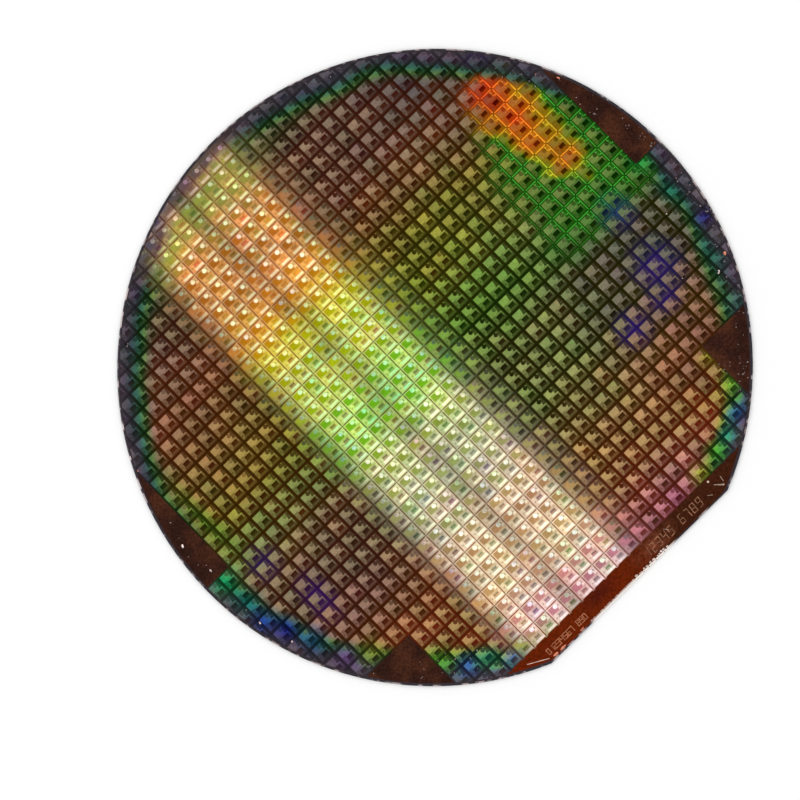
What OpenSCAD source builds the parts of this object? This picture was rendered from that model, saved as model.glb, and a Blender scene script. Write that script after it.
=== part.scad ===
// Patterned silicon wafer, 150 mm across, with one primary flat.
// The back face lies on z = 0, the circle's centre is on the Z axis and the flat faces -Y.
// Lengths are in millimetres.

/* [Disc] */
// Diameter of the wafer's circle
wafer_d = 150; // [100:1:200]
// Thickness between the two faces
wafer_t = 0.675; // [0.6:0.005:1]
// Length of the primary flat, corner to corner
flat_len = 57.5; // [20:0.5:65]

/* [Ground edge] */
// Angle of the ground bevels to the faces, in degrees
bevel_angle = 22; // [18:1:30]
// Height of the straight wall left in the middle of the edge
apex_h = 0.2; // [0.1:0.01:0.2]
// Radius that blends each bevel into the straight wall
blend_r = 0.15; // [0.05:0.01:0.15]

/* [Edge chips] */
// Radius of the hollow shell that each chip leaves
chip_r = 0.8; // [0.6:0.05:1.5]
// Height left under each chip, above the straight wall
chip_sill = 0.03; // [0.01:0.01:0.06]

/* [Hidden] */
$fn = 180;

wafer_r = wafer_d / 2;
// Distance from the centre to the flat
flat_y = sqrt(wafer_r * wafer_r - flat_len * flat_len / 4);
// Height from the end of the straight wall to the face
shoulder_h = (wafer_t - apex_h) / 2;
// Width of a bevel seen from above: its line runs tangent to the blend arc
bevel_w = blend_r + (shoulder_h * cos(bevel_angle) - blend_r) / sin(bevel_angle);
// Steps in each blend arc
blend_steps = 5;
// How far the flat's slab runs past the disc on the other three sides
slab_spare = 2;

// Chips along the flat's upper edge: [place, from -1 to 1 along the flat; depth in from the flat]
chips = [
    [-0.925, 0.5], [-0.87, 0.75], [-0.83, 0.6], [-0.626, 0.5], [-0.222, 0.45],
    [-0.015, 0.5], [0.055, 0.6], [0.118, 0.7], [0.143, 0.5], [0.195, 0.6],
    [0.237, 0.5], [0.289, 0.6], [0.32, 0.9], [0.975, 0.6]
];

// Upper half of the edge's section, as [distance out from the straight wall, height above mid-thickness]
edge_half = concat(
    [for (i = [0 : blend_steps])
        let (a = i * (90 - bevel_angle) / blend_steps)
        [blend_r * (cos(a) - 1), apex_h / 2 + blend_r * sin(a)]],
    [[-bevel_w, wafer_t / 2]]
);

// Whole section from inner out to the straight wall at reach, standing on the x axis
function edge_section(inner, reach) = concat(
    [[inner, 0]],
    [for (i = [len(edge_half) - 1 : -1 : 0])
        [reach + edge_half[i].x, wafer_t / 2 - edge_half[i].y]],
    [for (p = edge_half) [reach + p.x, wafer_t / 2 + p.y]],
    [[inner, wafer_t]]
);

// Full round disc with its ground edge
module disc() {
    rotate_extrude()
        polygon(edge_section(0, wafer_r));
}

// Wide slab whose -Y side carries the same ground edge as the disc
module flat_slab() {
    slab_w = wafer_d + 2 * slab_spare;
    translate([-slab_w / 2, 0, 0])
        rotate([90, 0, 90])
            linear_extrude(slab_w)
                mirror([1, 0])
                    polygon(edge_section(-wafer_r - slab_spare, flat_y));
}

// Shell-shaped chip: a sphere through the face at depth in from the flat,
// and through the flat just above its straight wall
module chip(at_x, depth) {
    sill_z = (wafer_t + apex_h) / 2 + chip_sill;
    rise = wafer_t - sill_z;
    chord = norm([depth, rise]);
    lift = sqrt(chip_r * chip_r - chord * chord / 4);
    translate([
        at_x,
        -flat_y + depth / 2 - lift * rise / chord,
        (wafer_t + sill_z) / 2 + lift * depth / chord
    ])
        sphere(chip_r);
}

module wafer() {
    color([0.24, 0.12, 0.09])
        difference() {
            intersection() {
                disc();
                flat_slab();
            }
            for (c = chips)
                chip(c[0] * flat_len / 2, c[1]);
        }
}

wafer();
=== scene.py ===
import math
import random

import bmesh
import bpy
from mathutils import Matrix, Vector


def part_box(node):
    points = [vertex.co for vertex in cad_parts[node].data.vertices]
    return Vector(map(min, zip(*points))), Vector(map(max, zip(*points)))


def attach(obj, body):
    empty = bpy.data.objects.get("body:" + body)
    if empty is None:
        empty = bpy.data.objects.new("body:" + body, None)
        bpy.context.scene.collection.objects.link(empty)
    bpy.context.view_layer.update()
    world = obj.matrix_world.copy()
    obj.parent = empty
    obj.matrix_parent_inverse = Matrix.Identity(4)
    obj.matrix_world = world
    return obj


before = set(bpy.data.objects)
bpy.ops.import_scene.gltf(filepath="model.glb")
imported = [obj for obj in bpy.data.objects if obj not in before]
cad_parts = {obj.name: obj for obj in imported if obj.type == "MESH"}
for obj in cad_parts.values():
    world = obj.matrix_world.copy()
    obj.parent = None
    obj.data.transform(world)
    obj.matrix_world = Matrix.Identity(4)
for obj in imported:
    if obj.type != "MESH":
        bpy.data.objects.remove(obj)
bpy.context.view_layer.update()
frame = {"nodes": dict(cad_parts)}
print("frame loaded:", ", ".join(frame["nodes"]))

mm = 0.001
low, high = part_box("wafer")
waferRadius = (high.x - low.x) / 2 / mm
faceTop = high.z / mm       # height of the patterned face
flatEdge = low.y / mm       # y of the primary flat


# where the dies are printed, in mm from the middle of the wafer
dieGrid = {
    "pitchX": 3.846,
    "pitchY": 4.588,
    "streetX": 1.87,        # one street's centre, the others follow at the pitch
    "streetY": 0.10,
    "printRadius": 74.3,    # the film stops here
    "rows": (-13, 16),      # lowest and highest row of dies
    "lowEdge": 0.27,        # the film ends this far inside the lowest row
    "columns": (-20, 18),
    "lowBlock": (-13, -9, -13, 11),     # rows from, to, columns from, to
    "highBlock": (1, 16, -18, 16),
}


def dieCorner(column, row):
    x = dieGrid["streetX"] + column * dieGrid["pitchX"]
    y = dieGrid["streetY"] + (row - 1) * dieGrid["pitchY"]
    return x, y


def isPrinted(column, row):
    for name in ("lowBlock", "highBlock"):
        rowFrom, rowTo, columnFrom, columnTo = dieGrid[name]
        if rowFrom <= row <= rowTo and not columnFrom <= column <= columnTo:
            return False
    return dieGrid["rows"][0] <= row <= dieGrid["rows"][1]


def dieSites():
    for row in range(dieGrid["rows"][0], dieGrid["rows"][1] + 1):
        for column in range(dieGrid["columns"][0], dieGrid["columns"][1] + 1):
            if isPrinted(column, row):
                yield dieCorner(column, row)


def cellAt(x, y):
    column = math.floor((x - dieGrid["streetX"]) / dieGrid["pitchX"])
    row = math.floor((y - dieGrid["streetY"]) / dieGrid["pitchY"]) + 1
    return column, row


hues = {
    # the plates of the dies, as the film's thickness turns their colour
    "ash": (0.36, 0.34, 0.34),
    "sage": (0.48, 0.45, 0.33),
    "mauve": (0.55, 0.45, 0.37),
    "tan": (0.61, 0.49, 0.32),
    "clay": (0.62, 0.44, 0.35),
    "dun": (0.62, 0.46, 0.40),
    "taupe": (0.57, 0.48, 0.38),
    "sandal": (0.61, 0.57, 0.36),
    "apricot": (0.71, 0.57, 0.37),
    "salmon": (0.68, 0.50, 0.35),
    "rose": (0.75, 0.50, 0.48),
    "orchid": (0.72, 0.45, 0.52),
    "olive": (0.59, 0.55, 0.25),
    "straw": (0.62, 0.52, 0.29),
    "moss": (0.56, 0.59, 0.23),
    "leaf": (0.48, 0.61, 0.27),
    "reed": (0.54, 0.58, 0.34),
    "dusk": (0.44, 0.42, 0.36),
    "fern": (0.38, 0.49, 0.27),
    "petrol": (0.23, 0.41, 0.33),
    "pond": (0.25, 0.32, 0.33),
    "plum": (0.33, 0.30, 0.35),
    "slate": (0.36, 0.33, 0.36),
    "pear": (0.64, 0.60, 0.30),
    "sprout": (0.56, 0.61, 0.26),
    "frond": (0.38, 0.60, 0.34),
    "denim": (0.33, 0.38, 0.45),
    # the streets between the dies
    "wine": (0.33, 0.12, 0.10),
    "mahogany": (0.34, 0.11, 0.03),
    "umber": (0.27, 0.11, 0.02),
    "cocoa": (0.22, 0.09, 0.05),
    "bark": (0.22, 0.13, 0.01),
    "soot": (0.13, 0.12, 0.01),
    "pine": (0.08, 0.15, 0.01),
    "moor": (0.17, 0.16, 0.01),
    "jungle": (0.07, 0.14, 0.05),
    "slateDark": (0.15, 0.14, 0.16),
    "plumDark": (0.19, 0.17, 0.19),
    # the bright band of painted diffracted highlight, plates
    "mustard": (0.62, 0.62, 0.06),
    "rust": (0.67, 0.40, 0.13),
    "amber": (0.73, 0.48, 0.07),
    "lime": (0.60, 0.66, 0.08),
    "grass": (0.42, 0.66, 0.12),
    "hay": (0.55, 0.60, 0.22),
    "khaki": (0.58, 0.61, 0.36),
    # the painted highlight band, streets and columns
    "blush": (0.93, 0.80, 0.77),
    "cream": (0.93, 0.82, 0.66),
    "linen": (0.91, 0.83, 0.70),
    "sand": (0.85, 0.77, 0.66),
    "stone": (0.76, 0.76, 0.65),
    "pistachio": (0.77, 0.81, 0.58),
    "celery": (0.74, 0.86, 0.46),
    "apple": (0.77, 0.87, 0.44),
    "lemon": (0.81, 0.82, 0.40),
    "gold": (0.85, 0.78, 0.25),
    "orange": (0.89, 0.64, 0.25),
    "copper": (0.87, 0.61, 0.33),
    "ochre": (0.74, 0.62, 0.32),
    # the painted highlight band, dots and feet
    "petal": (0.98, 0.82, 0.84),
    "shell": (1.00, 0.92, 0.92),
    "peach": (1.00, 0.94, 0.74),
    "butter": (0.94, 0.97, 0.58),
    "dew": (0.80, 0.96, 0.66),
    "mint": (0.62, 0.94, 0.64),
    "ivory": (0.98, 0.98, 0.82),
    "milk": (1.00, 0.97, 0.87),
    # the film's margin inside the band
    "garnet": (0.40, 0.27, 0.28),
    # the patch of painted diffracted light, flame and green
    "flame": (0.95, 0.36, 0.14),
    "ember": (0.94, 0.52, 0.13),
    "marigold": (0.87, 0.64, 0.14),
    "citron": (0.70, 0.74, 0.16),
    "clover": (0.26, 0.70, 0.20),
}


def linear(colour):
    def one(v):
        return v / 12.92 if v <= 0.04045 else ((v + 0.055) / 1.055) ** 2.4
    return tuple(one(v) for v in colour) + (1.0,)


def newMaterial(name, metallic, roughness):
    material = bpy.data.materials.new(name)
    material.use_nodes = True
    shader = material.node_tree.nodes["Principled BSDF"]
    shader.inputs["Metallic"].default_value = metallic
    shader.inputs["Roughness"].default_value = roughness
    return material, material.node_tree, shader


def feed(tree, socket, value):
    if isinstance(value, bpy.types.NodeSocket):
        tree.links.new(value, socket)
    elif value is not None:
        socket.default_value = value[:3] if socket.type == "VECTOR" else value


def math1(tree, operation, a, b=None, c=None):
    node = tree.nodes.new("ShaderNodeMath")
    node.operation = operation
    for socket, value in zip(node.inputs, (a, b, c)):
        feed(tree, socket, value)
    return node.outputs[0]


def blend(tree, share, a, b, kind="MIX"):
    node = tree.nodes.new("ShaderNodeMix")
    node.data_type = "RGBA"
    node.blend_type = kind
    feed(tree, node.inputs["Factor"], share)
    feed(tree, node.inputs[6], a)
    feed(tree, node.inputs[7], b)
    return node.outputs[2]


def rise(tree, value, start, end, low=0.0, high=1.0, soft=True):
    node = tree.nodes.new("ShaderNodeMapRange")
    node.interpolation_type = "SMOOTHSTEP" if soft else "LINEAR"
    feed(tree, node.inputs["Value"], value)
    node.inputs["From Min"].default_value = start
    node.inputs["From Max"].default_value = end
    node.inputs["To Min"].default_value = low
    node.inputs["To Max"].default_value = high
    return node.outputs[0]


def ramp(tree, value, stops):
    # stops: (place in mm, hue name or grey share), spread over their own range
    stops = sorted(stops)
    first, last = stops[0][0], stops[-1][0]
    node = tree.nodes.new("ShaderNodeValToRGB")
    elements = node.color_ramp.elements
    while len(elements) < len(stops):
        elements.new(0.5)
    for element, (place, look) in zip(elements, stops):
        element.position = (place - first) / (last - first)
        element.color = linear(hues[look]) if isinstance(look, str) else (look, look, look, 1.0)
    feed(tree, node.inputs["Fac"], rise(tree, value, first, last, soft=False))
    return node.outputs["Color"]


def power(tree, colour, exponent):
    node = tree.nodes.new("ShaderNodeGamma")
    feed(tree, node.inputs["Color"], colour)
    node.inputs["Gamma"].default_value = exponent
    return node.outputs[0]


def scaled(tree, colour, gain):
    node = tree.nodes.new("ShaderNodeVectorMath")
    node.operation = "SCALE"
    feed(tree, node.inputs[0], colour)
    feed(tree, node.inputs["Scale"], gain)
    return node.outputs[0]


def vectorMath(tree, operation, a, b):
    node = tree.nodes.new("ShaderNodeVectorMath")
    node.operation = operation
    feed(tree, node.inputs[0], a)
    feed(tree, node.inputs[1], b)
    return node.outputs[0]


def times(tree, first, *others):
    for other in others:
        first = math1(tree, "MULTIPLY", first, other)
    return first


def distanceOut(tree, x, y):
    return math1(tree, "SQRT", math1(tree, "ADD", times(tree, x, x), times(tree, y, y)))


def placeOnWafer(tree):
    place = tree.nodes.new("ShaderNodeTexCoord").outputs["Object"]
    inMm = scaled(tree, place, 1 / mm)
    split = tree.nodes.new("ShaderNodeSeparateXYZ")
    feed(tree, split.inputs[0], inMm)
    return inMm, split.outputs[0], split.outputs[1]


def noise(tree, place, scale, detail=2.0):
    node = tree.nodes.new("ShaderNodeTexNoise")
    feed(tree, node.inputs["Vector"], place)
    node.inputs["Scale"].default_value = scale
    node.inputs["Detail"].default_value = detail
    return node.outputs["Fac"]


def blob(tree, place, x, y, reachX, reachY):
    # soft round patch, 1 in its middle and 0 at its reach
    mapping = tree.nodes.new("ShaderNodeMapping")
    mapping.inputs["Location"].default_value = (-x / reachX, -y / reachY, 0)
    mapping.inputs["Scale"].default_value = (1 / reachX, 1 / reachY, 0)
    feed(tree, mapping.inputs["Vector"], place)
    gradient = tree.nodes.new("ShaderNodeTexGradient")
    gradient.gradient_type = "QUADRATIC_SPHERE"
    feed(tree, gradient.inputs["Vector"], mapping.outputs[0])
    return math1(tree, "POWER", gradient.outputs["Fac"], 0.6)


# colour fields of the printed film: places in mm, each with a hue or a share
fields = {
    # plates outside the band: stops by y, at the left, just right of the band and at the right
    "lightLeft": [(-54, "straw"), (-46, "apricot"), (-39, "salmon"), (-30, "dun"), (-21, "taupe"),
                  (-8, "taupe"), (0, "reed"), (9, "olive"), (18, "straw"), (26, "tan"), (35, "clay"),
                  (45, "mauve"), (58, "sage")],
    "lightMid": [(-63, "orchid"), (-57, "rose"), (-50, "apricot"), (-40, "apricot"), (-32, "sandal"),
                 (-22, "reed"), (-12, "reed"), (0, "leaf"), (8, "leaf"), (16, "moss"), (27, "olive"),
                 (35, "tan"), (44, "mauve"), (57, "mauve"), (65, "sage")],
    "lightRight": [(-50, "straw"), (-43, "clay"), (-35, "clay"), (-27, "mauve"), (-19, "dusk"),
                   (-10, "dusk"), (-3, "fern"), (6, "reed"), (25, "olive"), (38, "mauve"), (50, "ash")],
    # streets outside the band
    "darkLeft": [(-52, "mahogany"), (-43, "mahogany"), (-33, "umber"), (-25, "cocoa"), (-14, "cocoa"),
                 (-4, "bark"), (5, "bark"), (20, "bark"), (30, "umber"), (40, "umber"), (50, "cocoa"),
                 (60, "jungle")],
    "darkRight": [(-63, "wine"), (-54, "mahogany"), (-44, "umber"), (-34, "bark"), (-24, "soot"),
                  (-10, "soot"), (0, "pine"), (10, "moor"), (22, "moor"), (31, "bark"), (39, "umber"),
                  (50, "cocoa"), (60, "cocoa"), (68, "jungle")],
    # the band of painted diffracted highlight, by y, from the duller to the brighter shapes
    "bandDeep": [(-63, "orchid"), (-57, "rose"), (-48, "apricot"), (-38, "salmon"), (-30, "sandal"),
                 (-20, "khaki"), (-9, "hay"), (-2, "grass"), (8, "grass"), (15, "lime"), (26, "mustard"),
                 (33, "amber"), (44, "rust"), (55, "rust"), (63, "olive"), (70, "moss")],
    "bandMid": [(-62, "blush"), (-50, "cream"), (-39, "linen"), (-30, "sand"), (-21, "stone"),
                (-11, "pistachio"), (-2, "celery"), (6, "apple"), (20, "lemon"), (29, "gold"),
                (36, "orange"), (44, "copper"), (58, "copper"), (65, "ochre")],
    "bandPale": [(-62, "shell"), (-50, "milk"), (-30, "milk"), (-21, "ivory"), (-8, "ivory"),
                 (1, "mint"), (9, "dew"), (21, "dew"), (28, "butter"), (36, "peach"), (60, "peach"),
                 (66, "butter"), (71, "petal")],
    # how strong the painted highlight band is, by x, for most shapes and for the plates
    "bandAcross": [(-36, 0.0), (-33, 0.12), (-30.4, 0.42), (-28.5, 0.75), (-26, 0.97), (-21, 1.0),
                   (-18.5, 0.9), (-16.6, 0.7), (-15, 0.5), (-13.5, 0.58), (-12, 0.74), (-10, 0.88),
                   (-8.6, 1.0), (-2.5, 1.0), (0.4, 0.7), (1.8, 0.42), (3.6, 0.16), (7, 0.07), (11, 0.0)],
    "bandPlates": [(-40, 0.0), (-36, 0.15), (-32, 0.6), (-28, 1.0), (1, 1.0), (3, 0.5), (7, 0.12),
                   (12, 0.0)],
    # the margin, by the distance from the middle, duller at the top than at the bottom
    "lightRim": [(65.5, "dusk"), (67.3, "dusk"), (68.8, "fern"), (70.2, "petrol"), (71.5, "pond"),
                 (73, "plum"), (74.5, "slate")],
    "lightRimLow": [(65, "pear"), (67.5, "pear"), (68.7, "sprout"), (70.2, "frond"), (71.6, "frond"),
                    (73, "denim"), (74.5, "slate")],
    "darkRim": [(66, "soot"), (68.5, "jungle"), (70.3, "jungle"), (72, "slateDark"), (74, "plumDark")],
    "bandRim": [(64, "hay"), (67, "olive"), (69, "moss"), (70.6, "taupe"), (71.8, "garnet"),
                (73.6, "plum")],
    "patch": [(0.0, "flame"), (0.22, "ember"), (0.42, "marigold"), (0.6, "citron"), (0.78, "clover")],
    # the round dots outside the band carry a painted highlight: as bright as the plates in some columns and
    # dark in others
    "dotAcross": [(-71, 0.7), (-60, 1.0), (-54, 0.95), (-50, 0.55), (-42, 0.14), (-34, 0.1), (3, 0.1),
                  (15, 0.0), (19, 0.25), (22, 0.9), (31, 1.1), (34, 0.4), (38, 0.95), (46, 0.9),
                  (52, 0.5), (60, 0.3)],
}

# soft coloured spots: x, y, reach in x, reach in y, colour
streetSpots = [
    (54, -20, 8, 9, (0.17, 0.06, 0.48)),
    (50, -27, 6, 5, (0.16, 0.06, 0.44)),
    (39.5, -27, 6, 6, (0.15, 0.05, 0.48)),
    (56, -5, 6, 7, (0.12, 0.10, 0.42)),
    (-57, -20, 5, 9, (0.17, 0.06, 0.42)),
    (-61, -5, 6, 6, (0.15, 0.08, 0.36)),
    (60, 46, 6, 5, (0.24, 0.15, 0.36)),
]
# the same for whole dies along the margin, with the streets between them darker
dieSpots = [
    (-70, -2, 6, 6, (0.06, 0.66, 0.40)),
    (-70, -9, 5, 5, (0.06, 0.52, 0.46)),
    (-70.5, -15, 5, 5, (0.10, 0.28, 0.62)),
    (-67.5, -20, 4, 5, (0.12, 0.14, 0.64)),
    (-65, -26, 5, 5, (0.14, 0.36, 0.56)),
    (-62, -35, 4, 5, (0.44, 0.30, 0.52)),
    (-57, -38, 5, 5, (0.58, 0.62, 0.20)),
    (-64, 12, 4, 20, (0.34, 0.56, 0.16)),
    (-47, -50, 5, 5, (0.36, 0.66, 0.20)),
    (-43, -56, 4, 4, (0.20, 0.32, 0.70)),
    (-38, -58, 5, 4, (0.16, 0.62, 0.46)),
    (-34, -62, 4, 3, (0.20, 0.40, 0.74)),
    (-30, -60, 4, 5, (0.46, 0.72, 0.20)),
    (68, 0, 4, 5, (0.14, 0.66, 0.30)),
    (68, -10, 4, 6, (0.14, 0.46, 0.38)),
    (70, -20, 4, 3, (0.14, 0.16, 0.50)),
    (65, -27, 3, 7, (0.20, 0.46, 0.36)),
    (61, -40, 5, 4, (0.30, 0.46, 0.42)),
    (48, -44, 5, 4, (0.66, 0.66, 0.16)),
    (47, -52, 4, 4, (0.46, 0.66, 0.18)),
    (43, -58, 4, 3, (0.18, 0.44, 0.74)),
    (38, -60, 4, 3, (0.14, 0.60, 0.54)),
    (33, -61, 4, 4, (0.30, 0.68, 0.20)),
    (27, -62, 4, 4, (0.62, 0.70, 0.16)),
]


def blend3(tree, x, names, places):
    left, middle, right = names
    colour = blend(tree, rise(tree, x, places[0], places[1]), left, middle)
    return blend(tree, rise(tree, x, places[2], places[3]), colour, right)


fieldEdges = {
    "margin": (65.8, 69.2),             # distance from the middle over which the margin sets in
    "marginWander": 1.3,                # how far that line wanders in and out
    "lowMargin": (-46, -32),            # y between the lower and the upper margin
    "lightSides": (-48, 6, 18, 48),     # x where the left, middle and right fields meet
    "darkSides": (-30, 0),
    "bandHeights": (24, 37),            # y between the band's lower and upper strength
    "bandMargin": (64, 68.5, 69.5, 72.0),
    "spotOnDie": 0.85,
}


def outsideColour(tree, look, x, y, radius):
    nearRim = rise(tree, radius, *fieldEdges["margin"])
    lightShare = look["light"]
    if lightShare == "dotAcross":
        lightShare = ramp(tree, x, fields["dotAcross"])
    sides = [ramp(tree, y, fields[name]) for name in ("lightLeft", "lightMid", "lightRight")]
    light = blend3(tree, x, sides, fieldEdges["lightSides"])
    rim = blend(tree, rise(tree, y, *fieldEdges["lowMargin"]), ramp(tree, radius, fields["lightRimLow"]),
                ramp(tree, radius, fields["lightRim"]))
    light = blend(tree, nearRim, light, rim)
    dark = blend(tree, rise(tree, x, *fieldEdges["darkSides"]), ramp(tree, y, fields["darkLeft"]),
                 ramp(tree, y, fields["darkRight"]))
    dark = blend(tree, nearRim, dark, ramp(tree, radius, fields["darkRim"]))
    return scaled(tree, blend(tree, lightShare, dark, light), look["gain"])


patchShape = {
    "middle": (8, 40, 57.0, 53.5),      # y from, y to, x at the first, x at the second
    "narrow": (42, 0.06),               # the hue turns slowly to the sides near this y
    "spread": 0.0105,
    "down": (10, 40, 0.42, 0.0),        # y from, y to, and how far the hue has turned at each
    "foot": (1, 13, 0.5, 0.0),
    "ragged": (0.2, 0.16),              # scale and strength of the noise in the turn
    "green": (0.6, 0.85),               # turn from which the patch is green
    "slant": (18, 0.45),                # the left side slants outward above this y
    "left": (36, 46),
    "bottom": (-9, 1),
    "top": (38, 44),
    "corner": (0.55, 80, 86),           # share of y added to x, and where the corner is cut off
    "rim": (68.5, 71),
}


def patchOver(tree, look, outside, flatPlace, x, y, radius):
    # painted diffracted light, a flame towards +X: red at its top, orange down its middle and green around
    shape = patchShape
    aside = math1(tree, "SUBTRACT", x, rise(tree, y, *shape["middle"], soft=False))
    below = times(tree, math1(tree, "SUBTRACT", shape["narrow"][0], y), shape["narrow"][1])
    spread = times(tree, times(tree, aside, aside), math1(tree, "MINIMUM", below, 1.0))
    turn = math1(tree, "ADD", rise(tree, y, *shape["down"], soft=False),
                 times(tree, spread, shape["spread"]))
    turn = math1(tree, "ADD", turn, rise(tree, y, *shape["foot"]))
    scale, strength = shape["ragged"]
    ragged = rise(tree, noise(tree, flatPlace, scale, 2), 0.3, 0.7, -strength, strength, soft=False)
    turn = math1(tree, "ADD", turn, ragged)
    gain = rise(tree, turn, *shape["green"], look["patchGain"], look["patchGain"] * look["greenGain"])
    patch = scaled(tree, power(tree, ramp(tree, turn, fields["patch"]), look["patchPower"]), gain)
    slantFrom, slant = shape["slant"]
    leftSide = math1(tree, "MAXIMUM", times(tree, math1(tree, "SUBTRACT", y, slantFrom), slant), 0)
    cornerShare, cornerFrom, cornerTo = shape["corner"]
    upperRight = math1(tree, "ADD", x, times(tree, y, cornerShare))
    inPatch = times(tree, rise(tree, math1(tree, "SUBTRACT", x, leftSide), *shape["left"]),
                    rise(tree, y, *shape["bottom"]), rise(tree, y, *shape["top"], 1.0, 0.0),
                    rise(tree, upperRight, cornerFrom, cornerTo, 1.0, 0.0),
                    rise(tree, radius, *shape["rim"], 1.0, 0.0))
    share = rise(tree, turn, *shape["green"], look["patchShare"], look["patchShare"] * look["greenShare"])
    return blend(tree, times(tree, inPatch, share), outside, patch)


def spotsOver(tree, look, outside, flatPlace):
    for *spot, hue in streetSpots:
        share = times(tree, blob(tree, flatPlace, *spot), look["spotShare"])
        outside = blend(tree, share, outside, linear(hue))
    light = 0.3 if look["light"] == "dotAcross" else look["light"]
    bright = 0.12 + 0.8 * light
    for *spot, hue in dieSpots:
        share = times(tree, blob(tree, flatPlace, *spot), fieldEdges["spotOnDie"])
        outside = blend(tree, share, outside, [part * bright for part in linear(hue)[:3]] + [1.0])
    return outside


# the bright band is painted diffracted highlight: three tones by y, with the margin's colours near the rim
def bandColour(tree, look, y, radius):
    deep, mid, pale = (ramp(tree, y, fields[name]) for name in ("bandDeep", "bandMid", "bandPale"))
    tone = look["pale"] * 2
    band = blend(tree, min(tone, 1.0), deep, mid)
    if tone > 1:
        band = blend(tree, tone - 1, band, pale)
    innerFrom, innerTo, outerFrom, outerTo = fieldEdges["bandMargin"]
    inner = times(tree, rise(tree, radius, innerFrom, innerTo), 0.85 - 0.55 * look["pale"])
    outer = rise(tree, radius, outerFrom, outerTo, 0.0, 0.95 - 0.25 * look["pale"])
    band = blend(tree, math1(tree, "MAXIMUM", inner, outer), band, ramp(tree, radius, fields["bandRim"]))
    band = scaled(tree, band, rise(tree, y, *fieldEdges["bandHeights"], *look["bandGain"]))
    return vectorMath(tree, "MULTIPLY", band, look["bandTint"]) if look["bandTint"] else band


def chanceOver(tree, look, colour, place, flatPlace):
    # every die a little lighter or darker than the next, with a fine grain over all
    fromStreet = vectorMath(tree, "ADD", flatPlace, (-dieGrid["streetX"], -dieGrid["streetY"], 0))
    cell = vectorMath(tree, "SNAP", fromStreet, (dieGrid["pitchX"], dieGrid["pitchY"], 1))
    chance = tree.nodes.new("ShaderNodeTexWhiteNoise")
    feed(tree, chance.inputs["Vector"], cell)
    colour = scaled(tree, colour, rise(tree, chance.outputs["Value"], 0, 1, 0.88, 1.12, soft=False))
    swing = look["swing"]
    turned = vectorMath(tree, "ADD", scaled(tree, chance.outputs["Color"], swing), (1 - swing / 2,) * 3)
    colour = vectorMath(tree, "MULTIPLY", colour, turned)
    grain = rise(tree, noise(tree, place, 2.4), 0.3, 0.7, 0.84, 1.16, soft=False)
    return vectorMath(tree, "MINIMUM", scaled(tree, colour, grain), (1, 1, 1))


def filmColour(tree, look):
    # one finish of the printed film: plates' and streets' colours mixed, with the painted highlight band over
    # them
    place, x, y = placeOnWafer(tree)
    joined = tree.nodes.new("ShaderNodeCombineXYZ")
    feed(tree, joined.inputs[0], x)
    feed(tree, joined.inputs[1], y)
    flatPlace = joined.outputs[0]
    reach = fieldEdges["marginWander"]
    wander = rise(tree, noise(tree, flatPlace, 0.06, 1), 0.3, 0.7, -reach, reach, soft=False)
    radius = math1(tree, "ADD", distanceOut(tree, x, y), wander)
    outside = outsideColour(tree, look, x, y, radius)
    outside = patchOver(tree, look, outside, flatPlace, x, y, radius)
    outside = spotsOver(tree, look, outside, flatPlace)
    across = ramp(tree, x, fields[look["across"]])
    colour = blend(tree, across, outside, bandColour(tree, look, y, radius))
    return chanceOver(tree, look, colour, place, flatPlace), place
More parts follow.
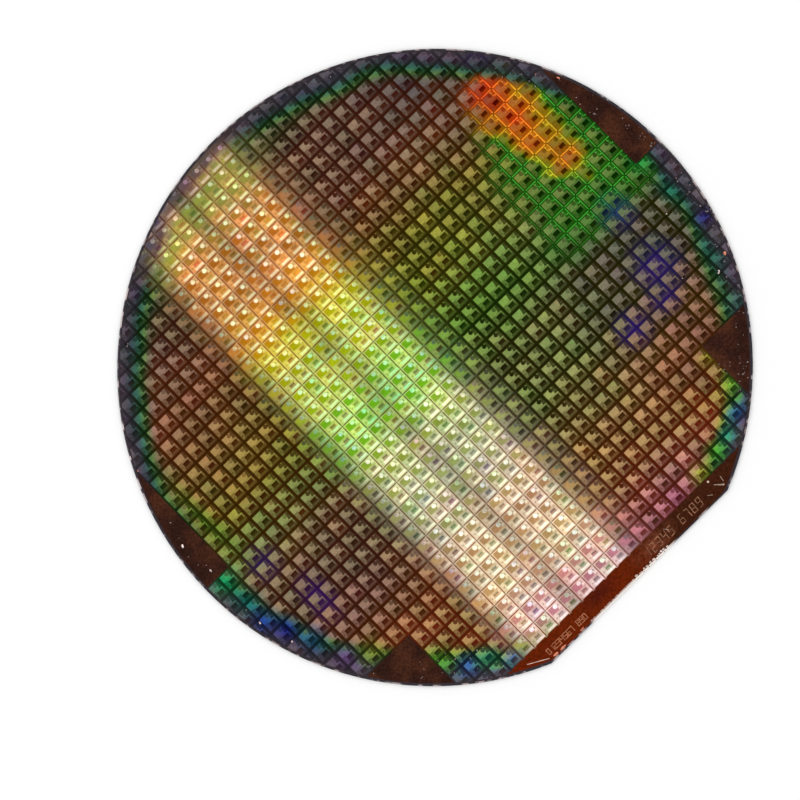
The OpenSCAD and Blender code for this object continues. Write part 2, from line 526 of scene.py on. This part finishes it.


# light: share of the plates' colour outside the band; pale: place between the three tones of the painted
# highlight band;
# bandGain: strength in the band's lower and upper part; the patch of painted diffracted light, its green part
# and the violet spots have strengths and shares of their own; swing: how much the hue differs from die to die
filmUsual = {"gain": 0.92, "roughness": 0.3, "across": "bandAcross", "bandTint": None, "patchPower": 1.3,
             "patchShare": 0.9, "greenGain": 0.6, "greenShare": 0.9, "spotShare": 0.4, "swing": 0.14}
filmLooks = {
    "street": {"light": 0.0, "gain": 0.9, "pale": 0.4, "bandGain": (0.88, 0.66), "roughness": 0.42,
               "bandTint": (1.04, 0.94, 0.86), "patchGain": 0.46, "greenGain": 0.3, "spotShare": 0.6},
    "groove": {"light": 0.0, "gain": 0.95, "pale": 0.0, "bandGain": (0.38, 0.44), "roughness": 0.5,
               "bandTint": (1.4, 0.55, 0.35), "patchPower": 0.9, "patchGain": 1.0, "greenGain": 0.75,
               "spotShare": 0.6},
    "rail": {"light": 0.03, "gain": 0.9, "pale": 0.66, "bandGain": (1.05, 0.95), "patchGain": 0.45,
             "greenGain": 0.5, "spotShare": 0.6},
    "plate": {"light": 1.0, "gain": 0.9, "pale": 0.0, "bandGain": (0.96, 0.94), "across": "bandPlates",
              "patchGain": 0.45, "patchShare": 0.72, "greenGain": 0.8, "greenShare": 0.6,
              "spotShare": 0.08},
    "column": {"light": 0.48, "pale": 0.52, "bandGain": (0.94, 0.98), "roughness": 0.32,
               "patchGain": 0.42, "patchShare": 0.8, "greenGain": 0.7, "greenShare": 0.7,
               "spotShare": 0.2},
    "comb": {"light": 0.2, "pale": 0.74, "bandGain": (1.0, 0.9), "roughness": 0.4, "patchPower": 1.1,
             "patchGain": 0.7, "greenGain": 0.55, "greenShare": 0.8, "spotShare": 0.35},
    "window": {"light": 0.03, "pale": 0.44, "bandGain": (0.62, 0.84), "roughness": 0.45,
               "patchPower": 2.0, "patchGain": 0.14, "swing": 0.5},
    "pads": {"light": 0.02, "gain": 0.8, "pale": 0.3, "bandGain": (0.34, 0.7), "roughness": 0.25,
             "patchPower": 2.0, "patchGain": 0.12, "spotShare": 0.3, "swing": 0.8},
    "bars": {"light": 0.78, "pale": 0.3, "bandGain": (0.92, 0.98), "roughness": 0.28,
             "patchGain": 0.42, "patchShare": 0.8, "greenGain": 0.7, "greenShare": 0.7,
             "spotShare": 0.2},
    "foot": {"light": 0.2, "gain": 0.9, "pale": 0.92, "bandGain": (1.02, 0.9), "patchGain": 0.4,
             "greenShare": 0.8},
    "dot": {"light": "dotAcross", "gain": 0.95, "pale": 1.0, "bandGain": (0.97, 0.97),
            "roughness": 0.22, "patchPower": 1.5, "patchGain": 0.3, "greenGain": 0.5,
            "greenShare": 0.8, "spotShare": 0.3, "swing": 0.3},
    "pit": {"light": 0.1, "gain": 0.8, "pale": 0.3, "bandGain": (0.32, 0.36), "roughness": 0.5,
            "patchGain": 0.35, "greenShare": 0.8},
    "hook": {"light": 0.14, "pale": 0.7, "bandGain": (0.97, 0.88), "roughness": 0.25,
             "patchPower": 0.8, "patchGain": 1.25, "patchShare": 1.0, "greenGain": 0.7},
}


def filmMaterial(name):
    look = {**filmUsual, **filmLooks[name]}
    material, tree, shader = newMaterial("film_" + name, 1.0, look["roughness"])
    colour, place = filmColour(tree, look)
    feed(tree, shader.inputs["Base Color"], colour)
    bump = tree.nodes.new("ShaderNodeBump")
    bump.inputs["Strength"].default_value = 0.15
    bump.inputs["Distance"].default_value = 0.01 * mm
    feed(tree, bump.inputs["Height"], noise(tree, place, 9, 3))
    feed(tree, shader.inputs["Normal"], bump.outputs[0])
    return material


# bare silicon, its edge and its back
bareLook = {
    "base": (0.27, 0.15, 0.10),
    "dark": (0.18, 0.10, 0.08),
    "warm": (0.37, 0.12, 0.03),     # the strip along the flat, from its left to its right
    "cool": (0.23, 0.11, 0.06),
    "shade": (0.24, 0.07, 0.06),
    "stain": (0.46, 0.25, 0.17),
    "edge": (0.20, 0.18, 0.20),
    "edgeGlint": (0.62, 0.56, 0.56),
    "chipsAndShine": (0.92, 0.88, 0.84),     # bright chips and a painted highlight along the flat's bevel
    "back": (0.36, 0.36, 0.37),
}


def bareColour(tree):
    place, x, y = placeOnWafer(tree)
    cloud = rise(tree, noise(tree, place, 0.16, 4), 0.38, 0.66)
    colour = blend(tree, cloud, linear(bareLook["dark"]), linear(bareLook["base"]))
    strip = rise(tree, y, -62, -64, 0.0, 1.0)
    alongFlat = blend(tree, rise(tree, x, -4, 14), linear(bareLook["warm"]), linear(bareLook["cool"]))
    shade = times(tree, blob(tree, place, -9.5, -65.4, 7, 3), 0.75)
    alongFlat = blend(tree, shade, alongFlat, linear(bareLook["shade"]))
    mottle = rise(tree, noise(tree, place, 0.6, 3), 0.35, 0.6)
    stain = times(tree, blob(tree, place, 8, -66, 8, 3.4), mottle)
    alongFlat = blend(tree, stain, alongFlat, linear(bareLook["stain"]))
    colour = blend(tree, strip, colour, alongFlat)
    colour = scaled(tree, colour, rise(tree, noise(tree, place, 1.7, 5), 0.3, 0.75, 0.6, 1.5, soft=False))
    return colour, place, x, y


def bareMaterial():
    material, tree, shader = newMaterial("bare_film", 1.0, 0.24)
    feed(tree, shader.inputs["Base Color"], bareColour(tree)[0])
    return material


def waferMaterial():
    # dark polished top under the film, ground edge with painted glints, a painted highlight with bright chips
    # along the flat's bevel, lapped grey back
    material, tree, shader = newMaterial("silicon", 1.0, 0.3)
    colour, place, x, y = bareColour(tree)
    edge = linear(bareLook["edge"])
    colour = blend(tree, rise(tree, distanceOut(tree, x, y), 73.7, 74.0), colour, edge)
    facing = tree.nodes.new("ShaderNodeSeparateXYZ")
    feed(tree, facing.inputs[0], tree.nodes.new("ShaderNodeNewGeometry").outputs["Normal"])
    slanted = rise(tree, math1(tree, "ABSOLUTE", facing.outputs[2]), 0.97, 0.99, 1.0, 0.0)
    glint = rise(tree, noise(tree, place, 0.5, 3), 0.50, 0.62)
    ground = blend(tree, glint, edge, linear(bareLook["edgeGlint"]))
    # painted highlight along the flat's bevel, which also lights its chips
    chipsAndShine = times(tree, rise(tree, y, -68.2, -68.7, 0.0, 1.0), rise(tree, x, -16, -14),
                 rise(tree, x, 9, 13, 1.0, 0.0))
    ground = blend(tree, chipsAndShine, ground, linear(bareLook["chipsAndShine"]))
    colour = blend(tree, slanted, colour, ground)
    back = rise(tree, facing.outputs[2], -0.98, -0.99, 0.0, 1.0)
    lapping = rise(tree, noise(tree, place, 3.5, 6), 0.3, 0.7, 0.8, 1.2)
    lapped = scaled(tree, linear(bareLook["back"]), lapping)
    colour = blend(tree, back, colour, lapped)
    feed(tree, shader.inputs["Base Color"], colour)
    feed(tree, shader.inputs["Roughness"], rise(tree, facing.outputs[2], -0.98, -0.99, 0.3, 0.55))
    return material


def slab(bm, x0, x1, y0, y1, z0, z1):
    middle = Vector(((x0 + x1) / 2, (y0 + y1) / 2, faceTop + (z0 + z1) / 2))
    size = Matrix.Diagonal((x1 - x0, y1 - y0, z1 - z0, 1))
    bmesh.ops.create_cube(bm, size=1, matrix=Matrix.Translation(middle) @ size)


def disc(bm, x, y, radius, z0, z1, sides):
    middle = Matrix.Translation((x, y, faceTop + (z0 + z1) / 2))
    bmesh.ops.create_cone(bm, cap_ends=True, segments=sides, radius1=radius, radius2=radius,
                          depth=z1 - z0, matrix=middle)


def plate(bm, points, z0, z1):
    face = bm.faces.new([bm.verts.new((x, y, faceTop + z0)) for x, y in points])
    face.normal_update()
    bmesh.ops.solidify(bm, geom=[face], thickness=-(z1 - z0))


def trimToRim(bm, cornerX, cornerY):
    # cuts what a die carries beyond the film's edge, which is all but straight across one die
    angle = math.atan2(cornerY + dieGrid["pitchY"] / 2, cornerX + dieGrid["pitchX"] / 2)
    outward = (math.cos(angle), math.sin(angle), 0)
    edge = [dieGrid["printRadius"] * part for part in outward]
    bmesh.ops.bisect_plane(bm, geom=bm.verts[:] + bm.edges[:] + bm.faces[:], dist=0.0001,
                           plane_co=edge, plane_no=outward, clear_outer=True)
    bmesh.ops.holes_fill(bm, edges=[e for e in bm.edges if e.is_boundary])


def overDies(build):
    # each die is built in a small mesh of its own and then gathered, which keeps the operators quick
    whole = bmesh.new()
    scratch = bpy.data.meshes.new("scratch")
    for cornerX, cornerY in dieSites():
        reach = math.hypot(max(abs(cornerX), abs(cornerX + dieGrid["pitchX"])),
                           max(abs(cornerY), abs(cornerY + dieGrid["pitchY"])))
        if reach > dieGrid["printRadius"] + 6:
            continue
        bm = bmesh.new()
        build(bm, cornerX, cornerY)
        if reach > dieGrid["printRadius"]:
            trimToRim(bm, cornerX, cornerY)
        bm.to_mesh(scratch)
        bm.free()
        whole.from_mesh(scratch)
    bpy.data.meshes.remove(scratch)
    return whole


def finishPiece(bm, name, material):
    bmesh.ops.scale(bm, vec=(mm, mm, mm), verts=bm.verts)
    bmesh.ops.recalc_face_normals(bm, faces=bm.faces)
    # one flat map seen from above, so that every piece shares the wafer's layout
    flatMap = bm.loops.layers.uv.new("OFBake")
    span = 2 * waferRadius * mm * 1.02
    for face in bm.faces:
        for loop in face.loops:
            loop[flatMap].uv = (loop.vert.co.x / span + 0.5, loop.vert.co.y / span + 0.5)
    mesh = bpy.data.meshes.new(name)
    bm.to_mesh(mesh)
    bm.free()
    piece = bpy.data.objects.new(name, mesh)
    bpy.context.scene.collection.objects.link(piece)
    mesh.materials.append(material)
    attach(piece, "root")
    print("made", name, len(mesh.polygons), "faces")
    return piece


# heights of the sheets above the face, in mm
filmLayers = {"bare": (-0.001, 0.004), "street": (-0.001, 0.006)}


def filmSheet(name, printed, material):
    # a round sheet cut along the block edges, keeping the printed or the bare cells
    bm = bmesh.new()
    bmesh.ops.create_circle(bm, cap_ends=True, radius=dieGrid["printRadius"], segments=360)
    cuts = [((0, flatEdge + 0.4, 0), (0, -1, 0), True)]
    cuts.append(((0, dieCorner(0, dieGrid["rows"][0])[1] + dieGrid["lowEdge"], 0), (0, -1, 0), False))
    for row in (dieGrid["lowBlock"][1] + 1, dieGrid["highBlock"][0]):
        cuts.append(((0, dieCorner(0, row)[1], 0), (0, -1, 0), False))
    for block in ("lowBlock", "highBlock"):
        for column in (dieGrid[block][2], dieGrid[block][3] + 1):
            cuts.append(((dieCorner(column, 0)[0], 0, 0), (1, 0, 0), False))
    for point, normal, clear in cuts:
        bmesh.ops.bisect_plane(bm, geom=bm.verts[:] + bm.edges[:] + bm.faces[:], dist=0.0001,
                               plane_co=point, plane_no=normal, clear_outer=clear)
    lowest = dieCorner(0, dieGrid["rows"][0])[1] + dieGrid["lowEdge"]

    def hasFilm(place):
        return place.y > lowest and isPrinted(*cellAt(place.x, place.y))

    others = [f for f in bm.faces if hasFilm(f.calc_center_median()) != printed]
    bmesh.ops.delete(bm, geom=others, context="FACES")
    z0, z1 = filmLayers["street" if printed else "bare"]
    bmesh.ops.translate(bm, vec=(0, 0, faceTop + z0), verts=bm.verts)
    bmesh.ops.solidify(bm, geom=bm.faces[:], thickness=-(z1 - z0))
    return finishPiece(bm, name, material)


# what one die carries, in mm from its lower left street crossing
dieShapes = {
    # the name is also the look; z: heights above the face; boxes: x from, x to, y from, y to
    "column": {"z": (0.004, 0.012), "boxes": [(0.42, 1.40, 0.44, 2.48), (3.10, 3.46, 1.06, 2.06)]},
    "bars": {"z": (0.004, 0.013), "boxes": [(1.42, 3.46, 2.10, 2.48)]},
    "foot": {"z": (0.004, 0.015), "boxes": [(1.10, 3.54, 0.40, 1.02)]},
    "window": {"z": (0.004, 0.010), "boxes": [(1.52, 3.04, 1.06, 2.06)]},
    "pads": {"z": (0.009, 0.020), "boxes": [
        (1.66, 1.98, 1.50, 1.88), (2.10, 2.42, 1.50, 1.88), (2.54, 2.86, 1.50, 1.88)]},
    "pit": {"z": (0.016, 0.021), "boxes": [(2.98, 3.16, 3.28, 3.86)]},
}


def dieBoxes(name):
    shape = dieShapes[name]

    def build(bm, cornerX, cornerY):
        for x0, x1, y0, y1 in shape["boxes"]:
            slab(bm, cornerX + x0, cornerX + x1, cornerY + y0, cornerY + y1, *shape["z"])

    return finishPiece(overDies(build), "die_" + name, filmMaterial(name))


plateShape = {"z": (0.004, 0.013), "outline": [
    (0.42, 2.50), (2.62, 2.50), (2.74, 3.20), (2.88, 4.20), (0.42, 4.20)]}


def diePlates():
    def build(bm, cornerX, cornerY):
        plate(bm, [(cornerX + x, cornerY + y) for x, y in plateShape["outline"]], *plateShape["z"])

    return finishPiece(overDies(build), "die_plates", filmMaterial("plate"))


combShape = {"z": (0.004, 0.014), "bars": 5, "from": 2.62, "to": 3.48, "bottom": 2.62, "top": 4.26,
             "lean": 0.22}


def dieCombs():
    # slim upright bars, the ones nearest the plate cut short by its slanted side
    step = (combShape["to"] - combShape["from"]) / combShape["bars"]

    def build(bm, cornerX, cornerY):
        for i in range(combShape["bars"]):
            x0 = cornerX + combShape["from"] + i * step
            reach = (x0 - cornerX - combShape["from"] + 0.05) / combShape["lean"]
            y1 = cornerY + min(combShape["top"], combShape["bottom"] + reach)
            y0 = cornerY + combShape["bottom"]
            slab(bm, x0, x0 + step * 0.72, y0, y1, *combShape["z"])

    return finishPiece(overDies(build), "die_combs", filmMaterial("comb"))


def dieDiscs(name, look, spots, z, sides):
    def build(bm, cornerX, cornerY):
        for x, y, radius in spots:
            disc(bm, cornerX + x, cornerY + y, radius, *z, sides)

    return finishPiece(overDies(build), name, filmMaterial(look))


hookShape = {"z": (0.012, 0.018), "outline": [
    (2.80, 4.28), (3.06, 4.28), (3.08, 3.55), (3.26, 3.14), (3.66, 3.04), (3.66, 2.82), (3.16, 2.80),
    (2.90, 3.05), (2.78, 3.60)]}


def dieHooks():
    # a bar with a bent foot at the upper right of each die
    def build(bm, cornerX, cornerY):
        plate(bm, [(cornerX + x, cornerY + y) for x, y in hookShape["outline"]], *hookShape["z"])

    return finishPiece(overDies(build), "die_hooks", filmMaterial("hook"))


streetLines = {"groove": {"offsets": (0.0,), "width": 0.28, "z": (0.004, 0.0072)},
               "rail": {"offsets": (-0.23, 0.23), "width": 0.12, "z": (0.004, 0.0085)}}


def streetPiece(name):
    # lines along each street, one length for each side of a die
    line = streetLines[name]
    half = line["width"] / 2

    def build(bm, cornerX, cornerY):
        acrossX, acrossY = cornerX + dieGrid["pitchX"], cornerY + dieGrid["pitchY"]
        column, row = cellAt(cornerX + 1, cornerY + 1)
        for offset in line["offsets"]:
            if isPrinted(column, row - 1):
                y = cornerY + offset
                slab(bm, cornerX, acrossX, y - half, y + half, *line["z"])
            if isPrinted(column - 1, row):
                x = cornerX + offset
                slab(bm, x - half, x + half, cornerY, acrossY, *line["z"])

    return finishPiece(overDies(build), "street_" + name, filmMaterial(name))


# a figure is drawn with some of seven strokes, on a box one wide and one high
strokeEnds = {"a": ((0, 1), (1, 1)), "b": ((1, 1), (1, 0.5)), "c": ((1, 0.5), (1, 0)), "d": ((0, 0), (1, 0)),
              "e": ((0, 0), (0, 0.5)), "f": ((0, 0.5), (0, 1)), "g": ((0, 0.5), (1, 0.5))}
figures = {"0": "abcdef", "1": "bc", "2": "abged", "3": "abgcd", "4": "fgbc", "5": "afgcd", "6": "afgedc",
           "7": "abc", "8": "abcdefg", "9": "gfabcd"}

markShapes = {
    "code": {"text": "01234567 890", "start": (-27.6, -67.6), "size": (0.70, 1.35), "step": 1.07, "dots": 3,
             "radius": 0.11, "z": (0.003, 0.010)},
    "written": {"text": "12345 6789", "start": (4.7, -67.6), "size": (1.05, 2.1), "step": 1.86, "width": 0.17,
                "lean": 0.10, "z": (0.003, 0.010)},
    # scratches, and one painted highlight line along the film's edge: both ends and the width
    "scratchesAndShine": [((27.4, -66.2), (29.2, -67.7), 0.14), ((28.0, -66.9), (29.1, -67.9), 0.08),
                  ((29.8, -65.8), (29.6, -67.0), 0.12), ((24.6, -66.9), (25.5, -67.6), 0.08),
                  # the first of these is a painted highlight along the film's edge at the lower left
                  ((-33.0, -65.5), (-28.3, -68.1), 0.16), ((11.8, -65.2), (12.6, -66.3), 0.07)],
    "speck": (26.9, -64.7, 0.28),
}
markLook = {
    "code": (0.74, 0.50, 0.36),
    "written": (0.60, 0.43, 0.33),
}


def strokesOf(figure, width, height):
    for name in figures[figure]:
        (x0, y0), (x1, y1) = strokeEnds[name]
        yield (x0 * width, y0 * height), (x1 * width, y1 * height)


def bar(bm, start, end, width, z0, z1):
    # a thin bar from one point to another
    length = math.hypot(end[0] - start[0], end[1] - start[1]) + width * 0.6
    middle = ((start[0] + end[0]) / 2, (start[1] + end[1]) / 2, faceTop + (z0 + z1) / 2)
    turn = Matrix.Rotation(math.atan2(end[1] - start[1], end[0] - start[0]), 4, "Z")
    size = Matrix.Diagonal((length, width, z1 - z0, 1))
    bmesh.ops.create_cube(bm, size=1, matrix=Matrix.Translation(middle) @ turn @ size)


def markMaterial(name, hue, roughness=0.4):
    material, tree, shader = newMaterial(name, 1.0, roughness)
    place, x, y = placeOnWafer(tree)
    feed(tree, shader.inputs["Base Color"],
         scaled(tree, linear(hue), rise(tree, noise(tree, place, 1.1, 3), 0.3, 0.7, 0.55, 1.25)))
    return material


def laserCode():
    # a row of figures made of small dots
    shape = markShapes["code"]
    bm = bmesh.new()
    for i, figure in enumerate(shape["text"]):
        if figure == " ":
            continue
        places = set()
        for (x0, y0), (x1, y1) in strokesOf(figure, *shape["size"]):
            for k in range(shape["dots"] + 1):
                share = k / shape["dots"]
                places.add((round(x0 + (x1 - x0) * share, 3), round(y0 + (y1 - y0) * share, 3)))
        left, foot = shape["start"][0] + i * shape["step"], shape["start"][1]
        for x, y in sorted(places):
            disc(bm, left + x, foot + y, shape["radius"], *shape["z"], 6)
    return finishPiece(bm, "laser_code", markMaterial("code_dots", markLook["code"]))


def writtenNumber():
    # thin, slightly uneven strokes, as if scribed by hand
    shape = markShapes["written"]
    chance = random.Random(7)
    bm = bmesh.new()
    for i, figure in enumerate(shape["text"]):
        if figure == " ":
            continue
        left, foot = shape["start"][0] + i * shape["step"], shape["start"][1] + chance.uniform(-0.12, 0.12)
        for ends in strokesOf(figure, *shape["size"]):
            start, end = ((left + x + y * shape["lean"] + chance.uniform(-0.09, 0.09),
                           foot + y + chance.uniform(-0.09, 0.09)) for x, y in ends)
            bar(bm, start, end, shape["width"] * chance.uniform(0.7, 1.2), *shape["z"])
    return finishPiece(bm, "scribed_number", markMaterial("scribed_lines", markLook["written"]))


def scratchesAndShine():
    # the scratches, a painted highlight line along the film's edge, and a speck
    bm = bmesh.new()
    for start, end, width in markShapes["scratchesAndShine"]:
        bar(bm, start, end, width, 0.003, 0.009)
    disc(bm, *markShapes["speck"], 0.003, 0.012, 9)
    return finishPiece(bm, "scratchesAndShine", markMaterial("scratch_and_shine_lines", (0.80, 0.70, 0.64)))


glintsAndChips = {
    # painted glints near the rim and along the flat, pale and warm: x, y, half length, half width, turn in
    # degrees
    "pale": [(-71.8, 11.2, 0.7, 0.35, 70), (-69.0, -23.5, 0.9, 0.4, 60), (63.1, -31.6, 0.6, 0.35, 30),
             (56.5, -26.7, 0.7, 0.3, 10), (64.0, -13.1, 0.45, 0.25, 80), (-46.5, -56.6, 0.7, 0.25, 40),
             (-62.6, -37.6, 0.5, 0.25, 60), (-71.2, -14.6, 0.5, 0.22, 80), (-71.0, 2.4, 0.3, 0.5, 0)],
    "warm": [(65.6, 31.3, 0.95, 0.45, 120), (68.3, -24.0, 0.9, 0.6, 60), (67.2, -29.5, 0.6, 0.4, 50),
             (-26.5, -68.5, 0.9, 0.36, 3), (-24.1, -68.5, 1.15, 0.33, -2), (-18.0, -68.6, 0.7, 0.22, 0),
             (68.6, 27.5, 0.5, 0.25, 110), (-66.9, 31.5, 0.4, 0.25, 60)],
    "faceEdge": 0.42,       # the flat face starts this far in from the flat
    # the length of the flat with bright chips and a painted highlight on its bevel: x from, x to, half width
    # from, to, and gap to the next
    "chipsAndShine": [(-15.0, -2, 0.06, 0.16, 1.5), (-2, 10.5, 0.08, 0.34, 2.4)],
    # small specks scattered by chance, partly dust and chips, partly painted glints: number, angles from, to,
    # distance from the middle from, to
    "scatter": [(60, -32, 8, 71.8, 74.0), (26, -60, -32, 71.5, 74.0), (22, 12, 34, 69.5, 74.0),
                (26, 165, 215, 71.0, 74.0), (18, -50, -44, 66.0, 73.5), (16, 222, 236, 67.0, 73.5),
                (20, 35, 150, 72.6, 74.1)],
}


def flake(bm, x, y, reachX, reachY, turn, chance):
    points = []
    for i in range(7):
        angle, reach = i * math.tau / 7, chance.uniform(0.6, 1.0)
        u, v = reachX * reach * math.cos(angle), reachY * reach * math.sin(angle)
        side, up = math.cos(math.radians(turn)), math.sin(math.radians(turn))
        points.append((x + u * side - v * up, y + u * up + v * side))
    plate(bm, points, 0.003, 0.012)


def edgeSpecks():
    # pale specks near the rim: partly dust and chips, partly painted glints
    chance = random.Random(11)
    bm = bmesh.new()
    for count, angleFrom, angleTo, near, far in glintsAndChips["scatter"]:
        for _ in range(count):
            angle, distance = math.radians(chance.uniform(angleFrom, angleTo)), chance.uniform(near, far)
            size = chance.uniform(0.06, 0.19)
            flake(bm, distance * math.cos(angle), distance * math.sin(angle), size * 1.5, size,
                  chance.uniform(0, 180), chance)
    return finishPiece(bm, "edge_specks", markMaterial("specks", (0.56, 0.50, 0.50), 0.4))


def edgeGlintsAndChips(name, hue):
    # painted glints near the rim, and along the flat its bright chips with a painted highlight on the bevel
    chance = random.Random(len(name))
    bm = bmesh.new()
    for x, y, reachX, reachY, turn in glintsAndChips[name]:
        flake(bm, x, y, reachX, reachY, turn, chance)
    x = glintsAndChips["chipsAndShine"][0][0]
    for _, shineTo, thin, thick, gap in glintsAndChips["chipsAndShine"] if name == "pale" else []:
        while x < shineTo:
            reach = chance.uniform(0.2, 0.55)
            wide = chance.uniform(thin, thick)
            flake(bm, x, flatEdge + glintsAndChips["faceEdge"] + wide, reach, wide, 0, chance)
            x += reach * gap
    return finishPiece(bm, "edge_glints_and_chips_" + name, markMaterial("glints_and_chips_" + name, hue, 0.3))


print("film sheets")
filmSheet("street_film", True, filmMaterial("street"))
filmSheet("bare_film", False, bareMaterial())

print("die patterns")
diePlates()
dieCombs()
for shapeName in dieShapes:
    dieBoxes(shapeName)
dieDiscs("die_dots", "dot", [(2.32, 3.68, 0.56)], (0.012, 0.022), 12)
dieDiscs("die_bumps", "pit", [(0.77, 1.36, 0.17), (0.24, 3.55, 0.1), (3.62, 1.5, 0.1)], (0.012, 0.019), 6)
dieHooks()
streetPiece("groove")
streetPiece("rail")

print("marks and flakes")
laserCode()
writtenNumber()
scratchesAndShine()
edgeGlintsAndChips("pale", (0.88, 0.80, 0.78))
edgeGlintsAndChips("warm", (0.86, 0.54, 0.42))
edgeSpecks()

cadWafer = frame["nodes"]["wafer"]
cadWafer.data.materials.clear()
cadWafer.data.materials.append(waferMaterial())
print("bare silicon done")


stage = {
    "floorSize": 3.0,
    "floor": (0.93, 0.93, 0.93),
    "sky": 1.12,
    "lamp": {"power": 3, "size": 0.8, "at": (-0.9, 0.9, 0.9)},
}


def makeFloor():
    bm = bmesh.new()
    bmesh.ops.create_grid(bm, x_segments=1, y_segments=1, size=stage["floorSize"] / 2)
    mesh = bpy.data.meshes.new("floor")
    bm.to_mesh(mesh)
    bm.free()
    floor = bpy.data.objects.new("floor", mesh)
    bpy.context.scene.collection.objects.link(floor)
    material, tree, shader = newMaterial("floor_paper", 0.0, 0.9)
    shader.inputs["Base Color"].default_value = linear(stage["floor"])
    shader.inputs["Specular IOR Level"].default_value = 0.0
    mesh.materials.append(material)


def makeLight():
    world = bpy.data.worlds.new("studio")
    world.use_nodes = True
    world.node_tree.nodes["Background"].inputs["Strength"].default_value = stage["sky"]
    world.node_tree.nodes["Background"].inputs["Color"].default_value = (1, 1, 1, 1)
    bpy.context.scene.world = world
    data = bpy.data.lights.new("softbox", "AREA")
    data.energy = stage["lamp"]["power"]
    data.size = stage["lamp"]["size"]
    lamp = bpy.data.objects.new("softbox", data)
    lamp.location = stage["lamp"]["at"]
    lamp.rotation_euler = (-Vector(stage["lamp"]["at"])).to_track_quat("-Z", "Y").to_euler()
    bpy.context.scene.collection.objects.link(lamp)


view = {
    "lens": 173.7,
    "location": (24.4, -105.4, 900.3),
    "lookAt": (-10.98, -0.39, 0.7),
    "upTurn": 45.63,        # the picture's upward side, in degrees from +X
}


def makeCamera():
    data = bpy.data.cameras.new("camera")
    data.lens = view["lens"]
    data.sensor_width = 36
    camera = bpy.data.objects.new("camera", data)
    location, target = Vector(view["location"]) * mm, Vector(view["lookAt"]) * mm
    forward = (target - location).normalized()
    up = Vector((math.cos(math.radians(view["upTurn"])), math.sin(math.radians(view["upTurn"])), 0))
    right = forward.cross(up).normalized()
    up = right.cross(forward)
    turn = Matrix((right, up, -forward)).transposed().to_4x4()
    camera.matrix_world = Matrix.Translation(location) @ turn
    bpy.context.scene.collection.objects.link(camera)
    bpy.context.scene.camera = camera


makeFloor()
makeLight()
makeCamera()
bpy.context.scene.view_settings.view_transform = "Standard"
print("stage ready")
